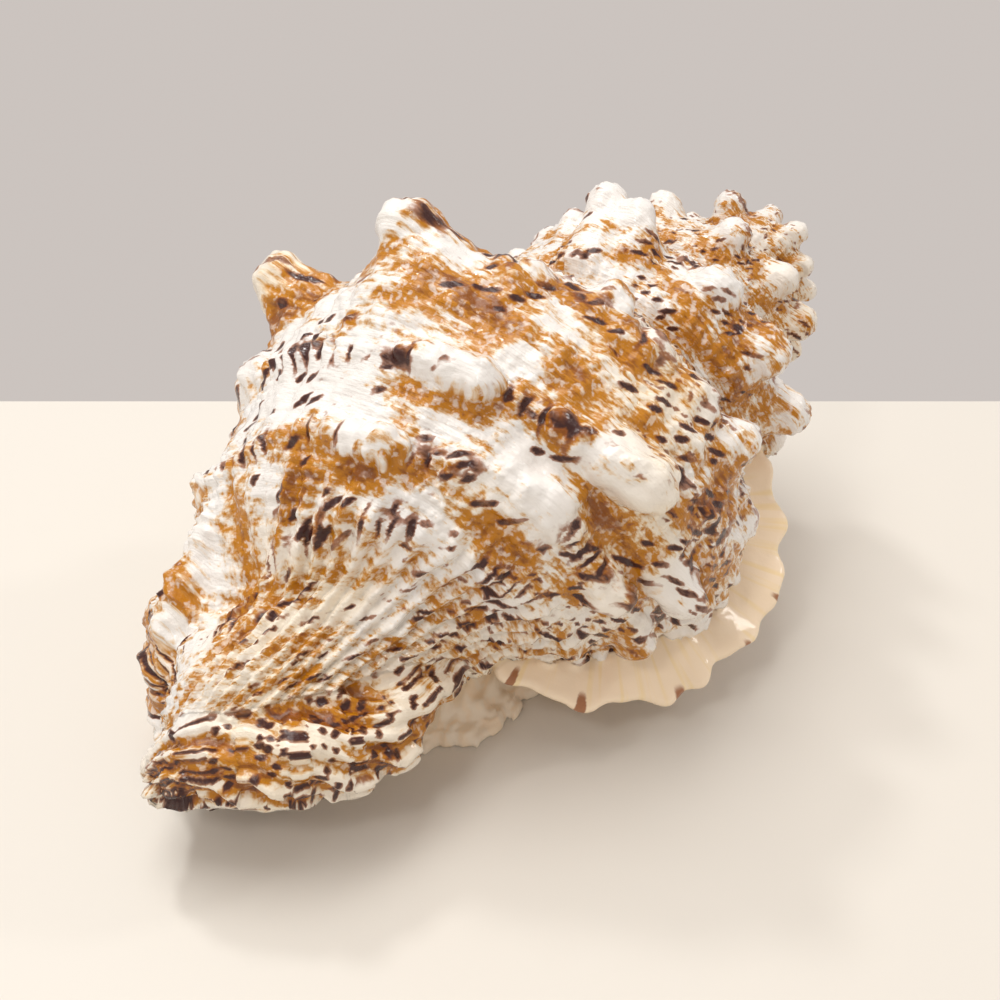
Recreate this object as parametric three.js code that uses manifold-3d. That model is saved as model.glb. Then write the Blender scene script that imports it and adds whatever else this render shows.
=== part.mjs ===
// A large knobbly frog shell, lying on its aperture. Millimetres, +Z up, spire towards +Y.
//
// The shell is one coiled tube that grew round an axis. One profile, a curve of radius against
// distance from the apex, is turned back from the outer lip and shrunk by the same ratio in each
// turn, which gives the body whorl and every whorl of the spire. Angles are counted back from the
// outer lip, so 0 is the lip and -360 is one whorl earlier.
import * as THREE from 'three';
import { mergeVertices } from 'three/addons/utils/BufferGeometryUtils.js';
import Module from 'manifold-3d';

// ---- driving dimensions, millimetres and degrees ----
const whorlRatio = 1.5;         // each turn is this much larger than the one before
const whorlCount = 7;           // turns that are still large enough to see
const lipAngle = 217;           // the outer lip, round the axis, with 0 at +X and 90 on top
const oldLipTurn = -252;        // the earlier flared lip, back from the outer lip
const spireLift = 15.5;         // the axis rises this much towards the apex
const axisMiddle = 135;         // distance from the apex to the frame's own middle
const axisHeight = 40.9;        // height of the axis at that middle
const sideShift = 5.435;        // these two centre the shell's box on the origin
const lengthShift = -18.874;
const bluntTop = 17;            // the worn end of the spire, from where the apex would be
const frontTip = 214.5;         // and the other end, the tip of the canal
const wall = 6.5;               // shell wall at the lip
const cavityTurn = 135;         // how far the hollow runs back from the lip
const columellaRadius = 9;      // the pillar on the axis
const lipFlare = 14;            // how far the outer lip turns outward
const lipFlareTurn = 26;        // and the part of a turn that it takes
const lipFlareSpan = [94, 112, 206, 218]; // it fades in and out between these distances
const flangeThickness = 4;      // the earlier lip stands out as a thin flange
const flangeRipple = 0.9;       // its edge is crimped by this much
const flangeRoot = [[4, 142], [4, 72]]; // and it runs in to here, beside the axis
const shieldEdge = 3;           // the inner lip's shield is flat underneath, thin at its edge
const shieldMiddle = 16;        // and this thick where it joins the pillar
const shieldTop = 0.6;          // its thick part is this share of its outline
const floorCut = 0.6;           // worn flats where the shell rests
const coreBlend = 8;            // the pillar runs into the whorls with this soft a join

// the profile of the last whorl: distance from the apex, radius
const profilePoints = [
  [72, 12], [84, 25], [95, 34.5], [105, 42], [115, 49], [124, 55], [132, 60], [141, 61], [152, 58.5],
  [163, 54], [176, 47.5], [187, 40.5], [198, 33.5], [207, 26], [213.5, 18], [218, 0.5],
];

// knobs: degrees back from the lip, distance from the apex on the last whorl, height, radius
const shoulder = 130;
const middleRow = 159;
const lowerRow = 178;
const frontRow = 196;
const knobs = [
  [-34, shoulder, 8, 8], [-66, shoulder, 13, 9], [-111, shoulder, 11, 11], [-149, shoulder, 9, 7],
  [-192, shoulder, 8, 7], [-226, shoulder, 7, 6], [-262, shoulder, 6, 6], [-300, shoulder, 6, 7],
  [-340, shoulder, 7, 7], [-395, shoulder, 8, 7], [-440, shoulder, 9, 8], [-484, shoulder, 13, 8],
  [-524, shoulder, 11, 7], [-556, shoulder, 12, 7], [-590, shoulder, 10, 6], [-630, shoulder, 7, 6],
  [-670, shoulder, 8, 6], [-712, shoulder, 8, 6], [-752, shoulder, 8, 5], [-790, shoulder, 9, 5],
  [-826, shoulder, 10, 5], [-864, shoulder, 9, 5], [-905, shoulder, 9, 4.5], [-950, shoulder, 8, 4],
  [-1000, shoulder, 7, 4], [-1060, shoulder, 6, 4], [-1120, shoulder, 6, 4], [-1180, shoulder, 6, 4],
  [-24, middleRow, 6, 8], [-62, middleRow, 4, 8], [-98, middleRow, 4, 8], [-137, middleRow, 8, 8],
  [-184, middleRow, 11, 9], [-226, middleRow, 6, 7], [-20, lowerRow, 6, 7], [-58, lowerRow, 4, 7],
  [-92, lowerRow, 4, 7], [-128, lowerRow, 6, 7], [-171, lowerRow, 9, 9], [-222, lowerRow, 6, 6],
  [-18, frontRow, 6, 6], [-52, frontRow, 4, 6], [-84, frontRow, 5, 6], [-118, frontRow, 5, 6],
];

// the pillar's own radius against distance from the apex, and the ridge that winds round the front
// of the shell, as balls along a path: x, distance from the apex, z, radius
const core = [[80, 0], [110, 22], [138, 28], [165, 24], [188, 20], [200, 15.5], [208, 9], [212, 2]];
const fasciole = [
  [-14, 211, -6, 6.5], [-6, 208, -3, 9.5], [6, 202, 0, 12], [14, 190, 0, 13], [19, 177, -6, 12.5],
  [19, 165, -13, 11],
];

// the earlier lip's outline in its own plane, as distance from the apex and radius
const flangeOutline = [
  [66, 24], [67, 37], [77, 50], [88, 59], [101, 63], [117, 62], [131, 56], [144, 42], [151, 30],
  [147, 14],
];

// the shield's outline on the floor, across and along from the middle of the axis
const shieldOutline = [
  [1, -69], [9, -57], [14, -42], [19, -27], [23, -15], [24, 3], [26, 21], [24, 37], [15, 49],
  [4, 51], [-2, 37], [-2, 9], [-4, -25], [-8, -57],
];

const degree = Math.PI / 180;
const growth = Math.log(whorlRatio) / 360;

const wasm = await Module();
wasm.setup();

// ---- the form of a whorl ----

const profileCurve = new THREE.SplineCurve(profilePoints.map(([u, r]) => new THREE.Vector2(u, r)));
const profileSamples = profileCurve.getPoints(240);

// the radius that a sampled curve gives at a distance from the apex, or far inside off its ends
const offTheEnd = -50;
function radiusOn(samples, u) {
  if (u <= samples[0].x || u >= samples[samples.length - 1].x) return offTheEnd;
  const after = samples.findIndex((sample) => sample.x > u);
  const a = samples[after - 1];
  const b = samples[after];
  return THREE.MathUtils.mapLinear(u, a.x, b.x, a.y, b.y);
}

const profileRadius = (u) => radiusOn(profileSamples, u);

const scaleAt = (turn) => Math.exp(growth * turn);

// how far the knobs and the flared lip lift the whorl at a place on it
const knobSquash = 1.15; // knobs are a little shorter along the axis than round it
const knobReach = 6;     // and their slope has run out at this many widths squared
const flareMost = 1.2;
function relief(turn, u, radius) {
  const size = scaleAt(turn);
  let lift = 0;
  for (const [knobTurn, place, height, width] of knobs) {
    const round = (turn - knobTurn) * degree * radius;
    const along = (u / size - place) * size * knobSquash;
    const far = (round * round + along * along) / (width * width);
    if (far < knobReach) lift = Math.max(lift, height * Math.exp(-far));
  }
  const flare = THREE.MathUtils.clamp((turn + lipFlareTurn) / lipFlareTurn, 0, flareMost);
  const [start, full, fading, end] = lipFlareSpan;
  const fadeIn = THREE.MathUtils.smoothstep(u, start, full);
  const inside = fadeIn * (1 - THREE.MathUtils.smoothstep(u, fading, end));
  return lift + lipFlare * flare * flare * inside;
}

// the larger of two radii, with a soft join this wide
function blend(a, b, width) {
  const near = THREE.MathUtils.clamp(0.5 + (0.5 * (a - b)) / width, 0, 1);
  return THREE.MathUtils.lerp(b, a, near) + width * near * (1 - near);
}

const coreCurve = new THREE.SplineCurve(core.map(([u, r]) => new THREE.Vector2(u, r))).getPoints(80);
const coreRadius = (u) => radiusOn(coreCurve, u);

// the outermost surface at an angle round the axis: the largest of all the whorls there
const tallestKnob = 20;
function hullRadius(angle, u) {
  const back = THREE.MathUtils.euclideanModulo(angle - lipAngle, 360) - 360;
  let best = 0;
  for (let whorl = 0; whorl < whorlCount; whorl += 1) {
    const turn = back - 360 * whorl;
    const size = scaleAt(turn);
    const radius = profileRadius(u / size) * size;
    if (radius > Math.max(0, best - tallestKnob)) best = Math.max(best, radius + relief(turn, u, radius));
  }
  return blend(best, coreRadius(u), coreBlend);
}

// from the axis (angle, radius, distance from the apex) to the part's frame
const lean = new THREE.Matrix4().makeRotationX(spireLift * degree);
function place(x, u, z) {
  const point = new THREE.Vector3(x, axisMiddle - u, z).applyMatrix4(lean);
  return point.add(new THREE.Vector3(sideShift, lengthShift, axisHeight));
}
const placeRound = (angle, radius, u) =>
  place(radius * Math.cos(angle * degree), u, radius * Math.sin(angle * degree));

// ---- closed meshes and solids ----

// rings of points, all with the same count, closed by a point at each end
function loft(rings, start, end) {
  const count = rings[0].length;
  const positions = [start, ...rings.flat(), end].flatMap((p) => [p.x, p.y, p.z]);
  const last = rings.length * count + 1;
  const index = [];
  for (let i = 0; i < count; i += 1) {
    const next = (i + 1) % count;
    index.push(0, 1 + next, 1 + i);
    for (let ring = 0; ring < rings.length - 1; ring += 1) {
      const a = 1 + ring * count + i;
      const b = 1 + ring * count + next;
      index.push(a, b, a + count, b, b + count, a + count);
    }
    const base = 1 + (rings.length - 1) * count;
    index.push(last, base + i, base + next);
  }
  const geometry = new THREE.BufferGeometry();
  geometry.setAttribute('position', new THREE.Float32BufferAttribute(positions, 3));
  geometry.setIndex(index);
  return geometry;
}

const weldDistance = 1e-4;
function toSolid(geometry) {
  const bare = geometry.clone();
  bare.deleteAttribute('normal');
  bare.deleteAttribute('uv');
  const merged = mergeVertices(bare, weldDistance);
  const mesh = new wasm.Mesh({
    numProp: 3,
    vertProperties: new Float32Array(merged.attributes.position.array),
    triVerts: new Uint32Array(merged.index.array),
  });
  return new wasm.Manifold(mesh);
}

// turns a loft the right way out when it was wound the other way
function facingOut(geometry) {
  const solid = toSolid(geometry);
  if (solid.volume() > 0) return solid;
  const flipped = geometry.clone();
  const index = Array.from(flipped.index.array);
  for (let i = 0; i < index.length; i += 3) [index[i + 1], index[i + 2]] = [index[i + 2], index[i + 1]];
  flipped.setIndex(index);
  return toSolid(flipped);
}

function toGeometry(solid) {
  const mesh = solid.getMesh();
  const geometry = new THREE.BufferGeometry();
  geometry.setAttribute('position', new THREE.Float32BufferAttribute(mesh.vertProperties, mesh.numProp));
  geometry.setIndex(Array.from(mesh.triVerts));
  return geometry;
}

// ---- the whorls ----

function whorls() {
  const around = 60;
  const seamStep = 0.02; // keeps the lip's own angle just off a row of points
  const thinnest = 1.2;
  const rings = [];
  const stations = [];
  for (let u = bluntTop; u < 66; u += 3.5) stations.push(u); // finer on the small whorls
  for (let u = 67; u < frontTip; u += 4.6) stations.push(u);
  for (const u of stations) {
    const ring = [];
    for (let i = 0; i < around; i += 1) {
      const angle = lipAngle - (360 * (i + seamStep)) / around;
      ring.push(placeRound(angle, Math.max(thinnest, hullRadius(angle, u)), u));
    }
    rings.push(ring);
  }
  return facingOut(loft(rings, place(0, bluntTop - 2, 0), place(0, frontTip, 0)));
}

// ---- a fat path through balls of changing radius ----

const endRing = 0.7; // its round ends have one more ring, this far out and this wide
function sausage(balls, around) {
  const centres = new THREE.CatmullRomCurve3(balls.map(([x, u, z]) => place(x, u, z)));
  const sizes = new THREE.SplineCurve(balls.map((ball, i) => new THREE.Vector2(i, ball[3])));
  const steps = 10;
  const frames = centres.computeFrenetFrames(steps, false);
  const rings = [];
  const ringAt = (centre, frame, radius, shift) => {
    const ring = [];
    const middle = centre.clone().addScaledVector(frames.tangents[frame], shift);
    for (let i = 0; i < around; i += 1) {
      const angle = (2 * Math.PI * i) / around;
      ring.push(middle.clone()
        .addScaledVector(frames.normals[frame], radius * Math.cos(angle))
        .addScaledVector(frames.binormals[frame], radius * Math.sin(angle)));
    }
    return ring;
  };
  const radiusAt = (t) => sizes.getPoint(t).y;
  const first = centres.getPointAt(0);
  const end = centres.getPointAt(1);
  rings.push(ringAt(first, 0, radiusAt(0) * endRing, -radiusAt(0) * endRing));
  for (let step = 0; step <= steps; step += 1) {
    rings.push(ringAt(centres.getPointAt(step / steps), step, radiusAt(step / steps), 0));
  }
  rings.push(ringAt(end, steps, radiusAt(1) * endRing, radiusAt(1) * endRing));
  const start = first.clone().addScaledVector(frames.tangents[0], -radiusAt(0));
  const finish = end.clone().addScaledVector(frames.tangents[steps], radiusAt(1));
  return facingOut(loft(rings, start, finish));
}

// ---- the earlier lip, a thin flange that stands out at its own angle ----

function oldLip() {
  const angle = lipAngle + oldLipTurn;
  const curve = new THREE.SplineCurve(flangeOutline.map(([u, r]) => new THREE.Vector2(u, r)));
  const rippleStep = 1.9;
  const crimp = (i) => flangeRipple * Math.sin(i * rippleStep);
  const edge = curve.getPoints(36).map(({ x: u, y: radius }, i) => [radius + crimp(i), u]);
  const outline = [...edge, ...flangeRoot];
  const side = (lift) => outline.map(([radius, u]) => {
    const aside = lift / radius / degree;
    return placeRound(angle + aside, radius, u);
  });
  return plate(outline, side(-flangeThickness / 2), side(flangeThickness / 2));
}

// a closed plate between two outlines with the same points
function plate(outline, lower, upper) {
  const flat = outline.map(([x, y]) => new THREE.Vector2(x, y));
  const faces = THREE.ShapeUtils.triangulateShape(flat, []);
  const count = outline.length;
  const positions = [...lower, ...upper].flatMap((p) => [p.x, p.y, p.z]);
  const index = [];
  for (const [a, b, c] of faces) index.push(a, c, b, a + count, b + count, c + count);
  for (let i = 0; i < count; i += 1) {
    const next = (i + 1) % count;
    index.push(i, next, i + count, next, next + count, i + count);
  }
  const geometry = new THREE.BufferGeometry();
  geometry.setAttribute('position', new THREE.Float32BufferAttribute(positions, 3));
  geometry.setIndex(index);
  return facingOut(geometry);
}

// ---- the inner lip's shield, a flat plate that the shell rests on ----

function shield() {
  const underFloor = -1;
  const corners = shieldOutline.map(([x, y]) => new THREE.Vector3(x + sideShift, y + lengthShift, 0));
  const edge = new THREE.CatmullRomCurve3(corners, true).getPoints(40).slice(0, -1);
  const middle = edge.reduce((sum, p) => sum.add(p), new THREE.Vector3()).divideScalar(edge.length);
  const ring = (share, height) => edge.map((p) => middle.clone().lerp(p, share).setZ(height));
  const rings = [ring(1, underFloor), ring(1, shieldEdge), ring(shieldTop, shieldMiddle)];
  return facingOut(loft(rings, middle.clone().setZ(underFloor), middle.clone().setZ(shieldMiddle)));
}

// ---- the hollow behind the lip ----

function aperture() {
  const rings = [];
  const samples = 10;
  const mouth = 8; // the cut starts outside the lip
  const turnStep = 11;
  const [back, front] = [107, 211]; // the hollow's two ends at the lip
  const [backRise, frontRise] = [14, 30]; // both close in as it runs back
  const closing = 26;
  for (let turn = mouth; turn >= -cavityTurn; turn -= turnStep) {
    const angle = lipAngle + turn;
    const size = scaleAt(turn);
    const depth = Math.max(0, -turn / cavityTurn);
    const inset = wall + closing * depth ** 3;
    const outer = [];
    const inner = [];
    for (let i = 0; i <= samples; i += 1) {
      const end = front - frontRise * depth;
      const u = THREE.MathUtils.lerp(back + backRise * depth, end, i / samples) * size;
      const radius = profileRadius(u / size) * size - inset;
      const earlier = profileRadius(u / scaleAt(turn - 360)) * scaleAt(turn - 360);
      const floor = Math.max(columellaRadius, earlier + 0.5);
      outer.push(placeRound(angle, Math.max(radius + (turn > 0 ? lipFlare : 0), floor + 1), u));
      inner.push(placeRound(angle, floor, u));
    }
    rings.push([...outer, ...inner.reverse()]);
  }
  const sumOf = (ring) => ring.reduce((sum, p) => sum.add(p), new THREE.Vector3());
  const middleOf = (ring) => sumOf(ring).divideScalar(ring.length);
  return facingOut(loft(rings, middleOf(rings[0]), middleOf(rings[rings.length - 1])));
}

// ---- assembly ----

const roomSize = 400;
const floorBox = new THREE.BoxGeometry(roomSize, roomSize, roomSize);
floorBox.translate(0, 0, floorCut - roomSize / 2);

let body = whorls().add(sausage(fasciole, 12)).add(oldLip());
body = body.subtract(aperture());
body = body.add(shield());
body = body.subtract(facingOut(floorBox));

const frogShell = new THREE.Mesh(
  toGeometry(body).translate(0, 0, -floorCut),
  new THREE.MeshStandardMaterial({ color: 0xe9dccb, roughness: 0.3, metalness: 0 }),
);
frogShell.name = 'frog_shell';

const group = new THREE.Group();
group.add(frogShell);
export default group;
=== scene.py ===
import math
import bpy
import numpy as np
import openvdb
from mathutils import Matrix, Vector


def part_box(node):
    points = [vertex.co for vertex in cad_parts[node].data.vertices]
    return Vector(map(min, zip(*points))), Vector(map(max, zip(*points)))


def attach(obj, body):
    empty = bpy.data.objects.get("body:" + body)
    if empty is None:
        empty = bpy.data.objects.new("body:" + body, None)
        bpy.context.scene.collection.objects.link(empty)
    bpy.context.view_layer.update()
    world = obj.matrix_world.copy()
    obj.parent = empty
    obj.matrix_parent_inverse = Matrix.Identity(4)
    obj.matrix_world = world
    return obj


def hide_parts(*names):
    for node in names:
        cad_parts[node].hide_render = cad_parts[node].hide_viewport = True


# A large knobbly frog shell lying on its aperture.
# It is grown as a field in its own frame, in millimetres: the coil's axis runs along u, from the
# apex at 0 to the end of the canal at about 213. A turn is counted in degrees back from the outer
# lip, and a place is a distance from the apex, as it would be on the last whorl.

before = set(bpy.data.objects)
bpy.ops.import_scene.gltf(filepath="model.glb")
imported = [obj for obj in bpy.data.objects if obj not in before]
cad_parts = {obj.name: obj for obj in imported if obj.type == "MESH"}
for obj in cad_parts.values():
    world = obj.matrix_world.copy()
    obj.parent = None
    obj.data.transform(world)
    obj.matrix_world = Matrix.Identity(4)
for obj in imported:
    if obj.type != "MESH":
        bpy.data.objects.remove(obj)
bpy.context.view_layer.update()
lowCorner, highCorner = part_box("frog_shell")
print("frame loaded")

coil = {
    "ratio": 1.5,            # each turn is this much larger than the one before
    "whorls": 6,             # before the last one
    "lipAngle": 217.0,       # where the outer lip stands round the axis
    "lift": 15.5,            # the axis rises towards the apex
    "length": 193.66,        # of the whole shell, in these millimetres
    "axisMiddle": 135.0,     # the place that the axis is tilted round
    "axisHeight": 40.3,
    "side": 5.435,           # from the middle of the part's box to the axis
    "along": -18.874,
    "bluntTop": 23.0,        # the worn end of the spire
    "lipFlare": 13.0,        # how far the outer lip turns out, over how many degrees and between which places
    "lipFlareTurn": 26.0,
    "lipFlarePlaces": (92, 112, 190, 208),
    "thickEnd": 3.4,         # how much thicker the last whorl is where it meets the earlier lip
    "thickTurns": (205, 242, 250, 262),
    "thickPlaces": (108, 124, 182, 198),
    "neckIn": 15.0,          # how far it is drawn in behind the ridge round the canal
    "neckTurns": (62, 98),
    "neckPlaces": (186, 206),
    "steepness": 0.8,        # evens the field out where the profile is steep
    "cell": 0.6,
    "profile": [
        (55, -30), (66, -4), (72, 11), (84, 23.5), (95, 31), (104, 38.5), (112, 47.5), (118, 53),
        (124, 56.5), (132, 60), (141, 61), (152, 58.5), (163, 54), (176, 47.5), (187, 40), (197, 32.5),
        (205, 25), (210, 17), (213.5, 0.5), (217, -18), (222, -36),
    ],
}
growth = math.log(coil["ratio"]) / 360.0
lip = coil["lipAngle"]
unit = (highCorner.y - lowCorner.y) / coil["length"]
middleX = (lowCorner.x + highCorner.x) / 2
middleY = (lowCorner.y + highCorner.y) / 2
leanCos = math.cos(math.radians(coil["lift"]))
leanSin = math.sin(math.radians(coil["lift"]))


def curveThrough(points, places):
    xs = np.array([p[0] for p in points], float)
    ys = np.array([p[1] for p in points], float)
    slope = np.gradient(ys, xs)
    i = np.clip(np.searchsorted(xs, places) - 1, 0, len(xs) - 2)
    h = xs[i + 1] - xs[i]
    t = np.clip((places - xs[i]) / h, 0, 1)
    start = (2 * t**3 - 3 * t**2 + 1) * ys[i] + (t**3 - 2 * t**2 + t) * h * slope[i]
    return start + (3 * t**2 - 2 * t**3) * ys[i + 1] + (t**3 - t**2) * h * slope[i + 1]


tableStart, tableEnd, tableStep = 55.0, 222.0, 0.25
tablePlaces = np.arange(tableStart, tableEnd + tableStep, tableStep)
radiusTable = curveThrough(coil["profile"], tablePlaces).astype(np.float32)
slopeTable = np.gradient(radiusTable, tableStep).astype(np.float32)


def lookUp(table, place):
    i = np.clip((place - tableStart) / tableStep, 0, len(table) - 1.001)
    whole = i.astype(np.int32)
    part = i - whole
    return table[whole] * (1 - part) + table[whole + 1] * part


def smoothStep(x, start, end):
    t = np.clip((x - start) / (end - start), 0, 1)
    return t * t * (3 - 2 * t)


def plateau(x, start, full, fade, end):
    return smoothStep(x, start, full) * (1 - smoothStep(x, fade, end))


def softMin(a, b, width):
    near = np.clip(0.5 + 0.5 * (b - a) / width, 0, 1)
    return b + (a - b) * near - width * near * (1 - near)


def softMax(a, b, width):
    return -softMin(-a, -b, width)


def swell(turn, place):
    # what the last whorl has over the plain profile
    thick = coil["thickEnd"] * plateau(-turn, *coil["thickTurns"]) * plateau(place, *coil["thickPlaces"])
    neck = smoothStep(place, *coil["neckPlaces"]) * smoothStep(-turn, *coil["neckTurns"])
    return thick - coil["neckIn"] * neck


def evenOut(slope):
    return np.sqrt(1 + coil["steepness"] * slope * slope)


def onShell(turn, place, rise=0.0):
    # a point on the whorl in the shell's frame (x, u, z), lifted off it by rise
    size = math.exp(growth * turn)
    radius = float(np.interp(place, tablePlaces, radiusTable)) + float(swell(turn, place))
    slope = float(np.interp(place, tablePlaces, slopeTable))
    n = 1 / math.sqrt(1 + slope * slope)
    angle = math.radians(lip + turn)
    r = size * radius + rise * n
    return np.array([r * math.cos(angle), size * place - rise * slope * n, r * math.sin(angle)])


def toPart(p):
    # from the shell's frame to the part's, still in millimetres
    y = coil["axisMiddle"] - p[..., 1]
    return np.stack([
        p[..., 0] + coil["side"],
        y * leanCos - p[..., 2] * leanSin + coil["along"],
        y * leanSin + p[..., 2] * leanCos + coil["axisHeight"],
    ], -1)


# camera, floor and light

camera = {"target": (10.8, -12.6, 46.7), "turn": 45.0, "rise": 36.0, "away": 256.0, "view": 45.0}


def makeCamera():
    turn, rise = math.radians(camera["turn"]), math.radians(camera["rise"])
    back = Vector((math.sin(turn) * math.cos(rise), -math.cos(turn) * math.cos(rise), math.sin(rise)))
    target = Vector(camera["target"]) * unit
    target.x += middleX
    target.y += middleY
    data = bpy.data.cameras.new("camera")
    data.sensor_width = 36
    data.lens = data.sensor_width / 2 / math.tan(math.radians(camera["view"] / 2))
    data.clip_start = 0.01
    data.clip_end = 20
    eye = bpy.data.objects.new("camera", data)
    bpy.context.collection.objects.link(eye)
    eye.location = target + back * camera["away"] * unit
    eye.rotation_mode = "QUATERNION"
    eye.rotation_quaternion = (-back).to_track_quat("-Z", "Y")
    bpy.context.scene.camera = eye
    return back


viewBack = makeCamera()

studio = {
    "floor": (0.755, 0.725, 0.665), "floorRoughness": 0.55, "floorGrain": 9, "floorShades": (0.96, 1.02),
    "wall": (0.60, 0.55, 0.52), "sky": 1.0,
    "tableBehind": 0.117,    # from the middle of the view to the table's far edge
    "tableWide": 3.0,
    "aimHeight": 0.04,
    # each lamp's place behind the shell, to its right and above it, then its size, power and tint
    "lamps": {
        "overheadBox": ((0.05, -0.18, 1.0), (0.6, 0.5), 4.6, (1, 0.98, 0.95)),
        "glintBox": ((0.45, -0.35, 0.9), (0.12, 0.12), 2.2, (1, 0.99, 0.97)),
        "sideBox": ((0.2, 0.7, 0.6), (0.1, 0.15), 0.8, (1, 0.98, 0.96)),
        "frontBox": ((-0.6, -0.4, 0.9), (0.15, 0.15), 1.4, (1, 0.97, 0.93)),
    },
}


def palePaint():
    paint = bpy.data.materials.new("palePaint")
    paint.use_nodes = True
    nodes, links = paint.node_tree.nodes, paint.node_tree.links
    shader = nodes["Principled BSDF"]
    grain = nodes.new("ShaderNodeTexNoise")
    grain.inputs["Scale"].default_value = studio["floorGrain"]
    grain.inputs["Detail"].default_value = 6
    ramp = nodes.new("ShaderNodeValToRGB")
    for stop, shade in zip(ramp.color_ramp.elements, studio["floorShades"]):
        stop.color = (*[c * shade for c in studio["floor"]], 1)
    links.new(grain.outputs["Fac"], ramp.inputs["Fac"])
    links.new(ramp.outputs["Color"], shader.inputs["Base Color"])
    shader.inputs["Roughness"].default_value = studio["floorRoughness"]
    return paint


def makeTable(centre, away, across):
    # a table top that ends behind the shell, across the view
    wide = studio["tableWide"]
    far = centre + away * studio["tableBehind"]
    near = centre - away * wide
    corners = [far - across * wide, far + across * wide, near + across * wide, near - across * wide]
    height = lowCorner.z - 0.0001
    tableMesh = bpy.data.meshes.new("tableTop")
    tableMesh.from_pydata([(c.x, c.y, height) for c in corners], [], [(0, 1, 2, 3)])
    top = bpy.data.objects.new("tableTop", tableMesh)
    bpy.context.collection.objects.link(top)
    tableMesh.materials.append(palePaint())


def makeRoom():
    world = bpy.data.worlds.new("room")
    world.use_nodes = True
    background = world.node_tree.nodes["Background"]
    background.inputs["Color"].default_value = (*studio["wall"], 1)
    background.inputs["Strength"].default_value = studio["sky"]
    bpy.context.scene.world = world


def makeLamps(centre, away, across):
    aim = centre + Vector((0, 0, studio["aimHeight"]))
    for name, ((behind, right, up), size, power, tint) in studio["lamps"].items():
        light = bpy.data.lights.new(name, "AREA")
        light.shape = "RECTANGLE"
        light.size, light.size_y = size
        light.energy = power
        light.color = tint
        lamp = bpy.data.objects.new(name, light)
        bpy.context.collection.objects.link(lamp)
        lamp.location = centre + away * behind + across * right + Vector((0, 0, up))
        lamp.rotation_euler = (aim - lamp.location).to_track_quat("-Z", "Y").to_euler()


def makeStudio():
    away = Vector((-viewBack.x, -viewBack.y, 0)).normalized()
    across = Vector((away.y, -away.x, 0))
    middle = (camera["target"][0] * unit + middleX, camera["target"][1] * unit + middleY, 0)
    centre = Vector(middle)
    makeTable(centre, away, across)
    makeRoom()
    makeLamps(centre, away, across)


makeStudio()
print("camera, table and light set")

# the coil as a field of distances

cell = coil["cell"]
axes = (
    np.arange(-72, 75, cell, dtype=np.float32),
    np.arange(14, 224, cell, dtype=np.float32),
    np.arange(-62, 78, cell, dtype=np.float32),
)
gridX, gridU, gridZ = np.meshgrid(*axes, indexing="ij", sparse=True)
gridR = np.sqrt(gridX * gridX + gridZ * gridZ)
gridTurn = (np.degrees(np.arctan2(gridZ, gridX)) - lip - 60) % 360 - 300   # from -300 to 60
field = np.full([len(a) for a in axes], 60, np.float32)


def boxRound(lo, hi):
    spans = []
    for axis, a, b in zip(axes, lo, hi):
        first = int(np.clip((a - axis[0]) / cell, 0, len(axis) - 1))
        last = int(np.clip((b - axis[0]) / cell + 2, 1, len(axis)))
        spans.append(slice(first, last))
    return tuple(spans)


def flat(span):
    # the parts of the sparse grids that belong to a box
    sx, su, sz = span
    return gridX[sx], gridU[:, su], gridZ[:, :, sz], gridR[sx, :, sz], gridTurn[sx, :, sz]


def whorl(number):
    # distance to one turn of the tube, over the box that holds it
    most = math.exp(-growth * 360 * number)
    least = most / coil["ratio"]
    reach = 66 * most + 4 + (14 if number == 0 else 0)
    span = boxRound((-reach, 60 * least, -reach), (reach, 222 * most * (1.08 if number == 0 else 1), reach))
    x, u, z, r, turn = flat(span)
    turn = turn - 360 * number
    size = np.exp(growth * turn)
    place = u / size
    radius = lookUp(radiusTable, place) * size
    slope = lookUp(slopeTable, place)
    if number == 0:
        flare = np.clip((turn + coil["lipFlareTurn"]) / coil["lipFlareTurn"], 0, 1.1) ** 2
        radius = radius + coil["lipFlare"] * flare * plateau(place, *coil["lipFlarePlaces"])
        radius = radius + swell(turn, place) * size
    return span, (r - radius) / evenOut(slope), turn, place


def addBall(p, q, r0, r1, width):
    # a rounded cone between two points, run softly into what is there
    p, q = np.asarray(p, float), np.asarray(q, float)
    reach = max(r0, r1) + width + 2
    span = boxRound(np.minimum(p, q) - reach, np.maximum(p, q) + reach)
    x, u, z, _, _ = flat(span)
    d = q - p
    t = np.clip(((x - p[0]) * d[0] + (u - p[1]) * d[1] + (z - p[2]) * d[2]) / (d @ d + 1e-6), 0, 1)
    far = np.sqrt((x - p[0] - t * d[0]) ** 2 + (u - p[1] - t * d[1]) ** 2 + (z - p[2] - t * d[2]) ** 2)
    field[span] = softMin(field[span], (far - r0 - (r1 - r0) * t).astype(np.float32), width)


def addPath(balls, width):
    for a, b in zip(balls[:-1], balls[1:]):
        addBall(a[:3], b[:3], a[3], b[3], width)


span0, body, turn0, place0 = whorl(0)
x0, _, z0, r0, _ = flat(span0)
lipPlane = -x0 * math.sin(math.radians(lip)) + z0 * math.cos(math.radians(lip))
tube = body
body = np.where(turn0 > -120, softMax(body, lipPlane + 0 * body, 2.0), body)   # cut off at the lip
field[span0] = np.minimum(field[span0], body)
print("last whorl grown")

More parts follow.
